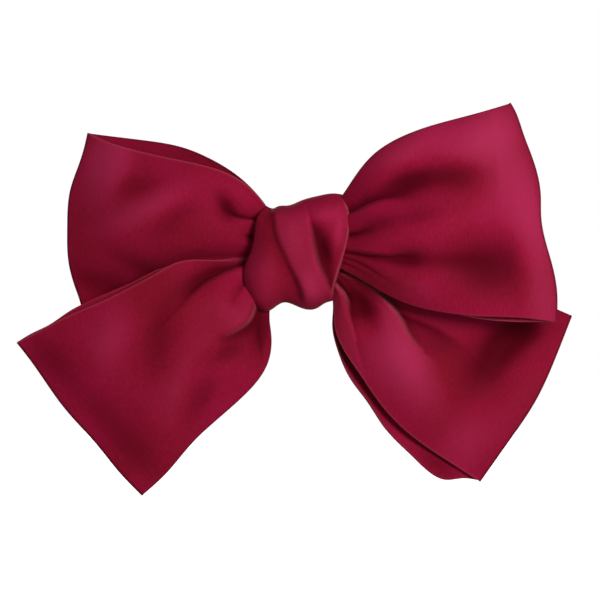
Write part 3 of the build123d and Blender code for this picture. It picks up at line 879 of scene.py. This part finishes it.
KNOT_SWELLS = [
    (9.6, 1.0, 8, 2.8, 108, -3.2),
    (8, 13, 7, 3, 15, 1.4),
    (15.5, 8, 8, 2.6, 80, 1.4),
    (-12, -8, 7, 12, 0, 0.9),
    (-2, 6, 4, 9, 15, 1.0),
    (4, -13, 4, 6, 20, 1.4),
]
# Painted highlight lines on the knot's face
KNOT_LINES = [
    dict(points=[(5, 9), (6.2, 1.5), (8.1, -5), (10.7, -10.5)], strength=(0.1, 0.22, 0.1)),
]
FACE_ROWS = 84
BACK_ROWS = 58
# The face's height at its top and bottom, and what its crown and its rounding across add to that
FACE_EDGE_HEIGHT, FACE_CROWN, FACE_ROUNDING = 24.5, 6.0, 7.2
# Where the side edges start to turn under (0 is the middle and 1 the edge), over what width, how deep
TURN_START, TURN_WIDTH, TURN_DEPTH = 0.955, 0.04, 9.0
# Rows between the face and the strap: their height, and how much of the face's shape they keep
NARROWING = [(18.5, 0.9), (12.5, 0.62), (9.0, 0.45)]
STRAP_HALF_WIDTH = 9.3
STRAP_HALF_HEIGHT = 7.4
# Y and Z of the strap behind the bar, from its top down
STRAP = [(-7.4, 7.0), (-6.4, 6.0), (-6.3, 3.0), (-6.3, -3.0), (-6.4, -6.0), (-7.4, -7.0)]


def knot_face():
    """Rows across the strip, up the knot's front, with their painted shade and highlights."""
    angle = np.linspace(0, math.pi, FACE_ROWS)
    upwards = (1 - np.cos(angle)) / 2
    where = patch(KNOT_BOTTOM, KNOT_TOP, KNOT_LEFT, KNOT_RIGHT, upwards, ACROSS)
    crown = np.sin(angle)[:, None] ** 0.7
    aside = np.abs(2 * ACROSS - 1)
    turned_under = ease((aside - TURN_START) / TURN_WIDTH)
    rounded = FACE_CROWN + FACE_ROUNDING * (1 - aside**4) - TURN_DEPTH * turned_under
    height = FACE_EDGE_HEIGHT + crown * rounded
    relief = sum(fold(where, **crease) for crease in KNOT_FOLDS)
    relief += sum(swell(where, *hump) for hump in KNOT_SWELLS)
    # A painted highlight line 1 mm in from the knot's right edge
    from_right = np.linalg.norm(where - where[:, -1:], axis=2)
    painted_gleam = 0.5 * np.exp(-(((from_right - 1.0) / 0.4) ** 2))
    for line in KNOT_LINES:
        painted_gleam = np.maximum(painted_gleam, light_line(where, **line))
    shown = ease(np.minimum(upwards, 1 - upwards) / 0.12)[:, None]
    relief, painted_gleam = relief * shown, painted_gleam * shown
    painted_shade_and_light = painted_light_and_shade(relief, painted_gleam, edge_lines(where, 1, 1, 0.3))
    return np.stack([where[..., 0], -height - relief, where[..., 1], *painted_shade_and_light], axis=-1)


def narrowing(edge, strap_x, strap_z):
    """Rows that lead back from the face's top or bottom edge to the strap."""
    rows = []
    for height, share in NARROWING:
        x = edge[:, 0] * share + strap_x * (1 - share)
        z = strap_z + (edge[:, 2] - strap_z) * share**1.4
        rows.append(np.stack([x, np.full(len(x), -height), z], axis=1))
    return rows


def knot_rows():
    """The knot's face from its bottom up, then over its top and down behind the bar."""
    face = knot_face()
    top_edge, bottom_edge = face[-1][:, :3], face[0][:, :3]
    strap_x = (2 * ACROSS - 1) * STRAP_HALF_WIDTH
    over_top = narrowing(top_edge, strap_x, STRAP_HALF_HEIGHT)
    under = narrowing(bottom_edge, strap_x, -STRAP_HALF_HEIGHT)
    level = np.ones(len(strap_x))
    strap = [np.stack([strap_x, y * level, z * level], axis=1) for y, z in STRAP]
    guides = np.array([top_edge, *over_top, *strap, *under[::-1], bottom_edge])
    fractions = np.linspace(0, 1, BACK_ROWS + 2)[1:-1]
    back = np.stack([smooth_curve(guides[:, k], fractions) for k in range(len(strap_x))], axis=1)
    # The rows behind the face carry no painted shade or highlight
    unshaded = np.zeros((*back.shape[:2], 3))
    return [*face, *np.concatenate([back, unshaded], axis=-1)]


def make_knot(material):
    knot = cloth_mesh("knot", knot_rows(), True, material)
    thicken(knot, SATIN_THICKNESS)
    return knot


# ---- Felt and thread ---------------------------------------------------------------------------

BAR_RADIUS = 136.0
BAR_CREST_Y = -8.0
BEND_CENTRE_Y = BAR_CREST_Y + BAR_RADIUS
BAR_HALF_THICKNESS = 0.4
BAR_HOLES = (21.0, 26.0)
THREAD_RADIUS = 0.35
TWIST_LENGTH = 1.9
PLY_DEPTH = 0.16
RING_POINTS = 12
FELT_THICKNESS = 1.0
FELT_WIDTH = 11.0
FELT_LENGTH = 78.0
FELT_CORNER = 2.5
FELT_SLACK = 0.08
FELT_LUMP = 0.018
RIVET_AT = 31.5
RIVET_RADIUS = 1.6
RIVET_RISE = 0.42


def along_bar(distance, points):
    """Carry points from the bar's middle round its bend, to where X is this distance."""
    turn = math.asin(distance / BAR_RADIUS)
    x, y = points[..., 0], points[..., 1] - BEND_CENTRE_Y
    turned_x = x * math.cos(turn) - y * math.sin(turn)
    turned_y = x * math.sin(turn) + y * math.cos(turn) + BEND_CENTRE_Y
    return np.stack([turned_x, turned_y, points[..., 2]], axis=-1)


def make_felt(material):
    """Pressed felt between the bar and the ribbons, uneven, and raised over the rivet's head."""
    rng = np.random.default_rng(5)
    corner = np.linspace(0, FELT_CORNER, 9)[:-1]
    at = np.concatenate([corner, np.linspace(FELT_CORNER, FELT_LENGTH / 2, 50)])
    at = np.concatenate([at, (FELT_LENGTH - at)[::-1][1:]]) - FELT_LENGTH / 2
    inset = np.clip(FELT_CORNER - (FELT_LENGTH / 2 - np.abs(at)), 0, FELT_CORNER)
    half_width = FELT_WIDTH / 2 - FELT_CORNER + np.sqrt(FELT_CORNER**2 - inset**2)
    across = np.linspace(-1, 1, 19)
    waves = rng.uniform(-1, 1, (12, 3))
    middle = BAR_CREST_Y - BAR_HALF_THICKNESS - FELT_THICKNESS / 2
    rows = []
    for distance, half in zip(at, half_width):
        z = across * half
        lumps = sum(FELT_LUMP * np.sin(2.1 * a * distance + 2.6 * b * z + 6 * c) for a, b, c in waves)
        raised = RIVET_RISE * ease(1 - (np.hypot(distance - RIVET_AT, z) - RIVET_RADIUS) / RIVET_RADIUS)
        points = np.stack([np.zeros_like(z), middle - raised + lumps, z], axis=1)
        rows.append(along_bar(distance, points))
    felt = cloth_mesh("felt_pad", rows, False, material)
    thicken(felt, FELT_THICKNESS - FELT_SLACK)
    return felt


def thread_rings(points, normal, closes):
    """Rings round a path, with the grooves between three plies winding along it."""
    section = np.linspace(0, 2 * np.pi, RING_POINTS + 1)[:-1]
    before, after = np.roll(points, 1, axis=0), np.roll(points, -1, axis=0)
    if not closes:
        before[0], after[-1] = points[0], points[-1]
    tangent = after - before
    tangent /= np.linalg.norm(tangent, axis=1)[:, None]
    sides = np.cross(tangent, normal)
    length = travelled(points)
    total = length[-1]
    turns = total / TWIST_LENGTH
    if closes:
        total += np.linalg.norm(points[0] - points[-1])
        turns = round(total / TWIST_LENGTH)
    rings = []
    for point, side, at in zip(points, sides, length):
        twist = 2 * np.pi * turns * at / total
        ply = np.abs(np.cos(1.5 * (section - twist)))
        radius = THREAD_RADIUS * (1 - PLY_DEPTH + PLY_DEPTH * ply)
        sideways = np.outer(radius * np.cos(section), side)
        rings.append(point + sideways + np.outer(radius * np.sin(section), normal))
    return np.array(rings)


def twisted_thread(name, paths, material):
    """Thread along each path: its points, the normal of its plane and whether it closes."""
    vertices, faces = [], []
    for points, normal, closes in paths:
        rings = thread_rings(points, normal, closes)
        first, count = len(vertices), len(rings)
        vertices += (rings.reshape(-1, 3) * MM).tolist()
        for i in range(count if closes else count - 1):
            a, b = first + i * RING_POINTS, first + (i + 1) % count * RING_POINTS
            for j in range(RING_POINTS):
                k = (j + 1) % RING_POINTS
                faces.append((a + j, a + k, b + k, b + j))
        if not closes:
            last = first + (count - 1) * RING_POINTS
            faces.append(tuple(range(first, first + RING_POINTS))[::-1])
            faces.append(tuple(range(last, last + RING_POINTS)))
    piece = new_piece(name, vertices, faces, material)
    piece.data.shade_smooth()
    return piece


def rounded_loop(y_from, y_to, z_from, z_to, corner):
    """A rectangle with rounded corners in the plane X = 0, as evenly spaced points."""
    points = []
    quarters = ((y_to - corner, z_to - corner, 0), (y_from + corner, z_to - corner, 90),
                (y_from + corner, z_from + corner, 180), (y_to - corner, z_from + corner, 270))
    for y, z, start in quarters:
        for angle in np.radians(np.linspace(start, start + 90, 7)):
            points.append((0, y + corner * math.cos(angle), z + corner * math.sin(angle)))
    points = np.array([*points, points[0]])
    length = travelled(points)
    even = np.linspace(0, length[-1], 73)[:-1]
    return np.stack([np.interp(even, length, points[:, k]) for k in range(3)], axis=1)


def bar_stitches(name, side, material):
    """Two loops of thread through each hole, one round each edge of bar and felt."""
    slack, inner_slack, outer_slack = 0.1, 0.07, 0.15
    back = BAR_CREST_Y + BAR_HALF_THICKNESS + THREAD_RADIUS + slack
    front = BAR_CREST_Y - BAR_HALF_THICKNESS - FELT_THICKNESS - THREAD_RADIUS - slack
    inner, outer = THREAD_RADIUS + inner_slack, FELT_WIDTH / 2 + THREAD_RADIUS + outer_slack
    loop = rounded_loop(front, back, inner, outer, 2 * THREAD_RADIUS)
    beside_centre = np.array([[1.0, BEND_CENTRE_Y, 0.0]])
    paths = []
    for distance in BAR_HOLES:
        normal = along_bar(side * distance, beside_centre)[0] - (0, BEND_CENTRE_Y, 0)
        for half in (1, -1):
            points = along_bar(side * distance, loop * (1, 1, half))
            paths.append((points, normal, True))
    return twisted_thread(name, paths, material)


def gathering_turns(material):
    """Four rings of thread round the bunched ribbons, inside the knot."""
    half_depth, half_height, centre_y = 7.65, 10.35, -23.1
    pitch = 2 * THREAD_RADIUS + 0.1
    paths = []
    for turn in range(4):
        angle = np.linspace(0, 2 * np.pi, 97)[:-1]
        x = np.full(len(angle), (turn - 1.5) * pitch)
        points = np.stack([x, centre_y + half_depth * np.cos(angle), half_height * np.sin(angle)], axis=1)
        paths.append((points, np.array([1.0, 0.0, 0.0]), True))
    return twisted_thread("gathering_turns", paths, material)


def closing_stitches(material):
    """Six slanted stitches on the strap behind the bar, each diving into the cloth at both ends."""
    slant = math.radians(18)
    half_length, surface, dive = 1.45, -5.5, 0.75
    run = np.linspace(-1, 1, 21)
    paths = []
    for x in (-7.5, -4.5, -1.5, 1.5, 4.5, 7.5):
        along = half_length * run
        y = surface - dive * np.abs(run) ** 4
        points = np.stack([x + along * math.sin(slant), y, along * math.cos(slant)], axis=1)
        paths.append((points, np.array([math.cos(slant), 0.0, -math.sin(slant)]), False))
    return twisted_thread("closing_stitches", paths, material)


# ---- Build -------------------------------------------------------------------------------------

PLATED = ("base_bar", "hinge_pin", "clasp_arm", "catch_plate", "catch_rivet")
SPRINGS = ("tension_bar", "upper_catch_prong", "lower_catch_prong")


def finish_metal():
    """The barrette keeps its shape from the frame, and gets nickel plate and spring steel."""
    nickel = metal_material(
        "nickel_plate", (0.56, 0.54, 0.50), (0.68, 0.66, 0.62), (350, 4200, 4200), 0.25, (0.20, 0.36)
    )
    spring = metal_material(
        "spring_steel", (0.40, 0.40, 0.41), (0.52, 0.52, 0.53), (260, 6500, 6500), 0.55, (0.28, 0.46)
    )
    for names, material in ((PLATED, nickel), (SPRINGS, spring)):
        for name in names:
            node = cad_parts[name]
            node.data.materials.clear()
            node.data.materials.append(material)


def attach(piece, slot, *nodes):
    """Hang a new piece on the bow's body and hide the frame's nodes that it stands for. slot is not used.
    """
    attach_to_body(piece, "bow")
    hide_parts(*nodes)


def main():
    make_camera()
    make_lights()
    make_floor()
    finish_metal()
    satin, thread, felt = satin_material(), thread_material(), felt_material()
    # The ribbons' flat sizes are lower than their shapes need, which is about 0.082 x 0.410 and
    # 0.075 x 0.394. With those the area test would refuse both, at shares of about 0.63 and 0.64.
    front = make_band("front_ribbon", RIGHT_LOOP, LEFT_TAIL, satin)
    attach(front, "satin", "front_band")
    back = make_band("back_ribbon", RIGHT_TAIL, LEFT_LOOP, satin)
    attach(back, "satin", "back_band")
    knot = make_knot(satin)
    attach(knot, "satin", "knot_band")
    pad = make_felt(felt)
    attach(pad, "felt", "felt_backing")
    attach(gathering_turns(thread), "thread", "gathering_thread")
    attach(closing_stitches(thread), "thread", "knot_closing_stitches")
    attach(bar_stitches("left_stitches", -1, thread), "thread", "left_bar_stitches")
    attach(bar_stitches("right_stitches", 1, thread), "thread", "right_bar_stitches")


main()
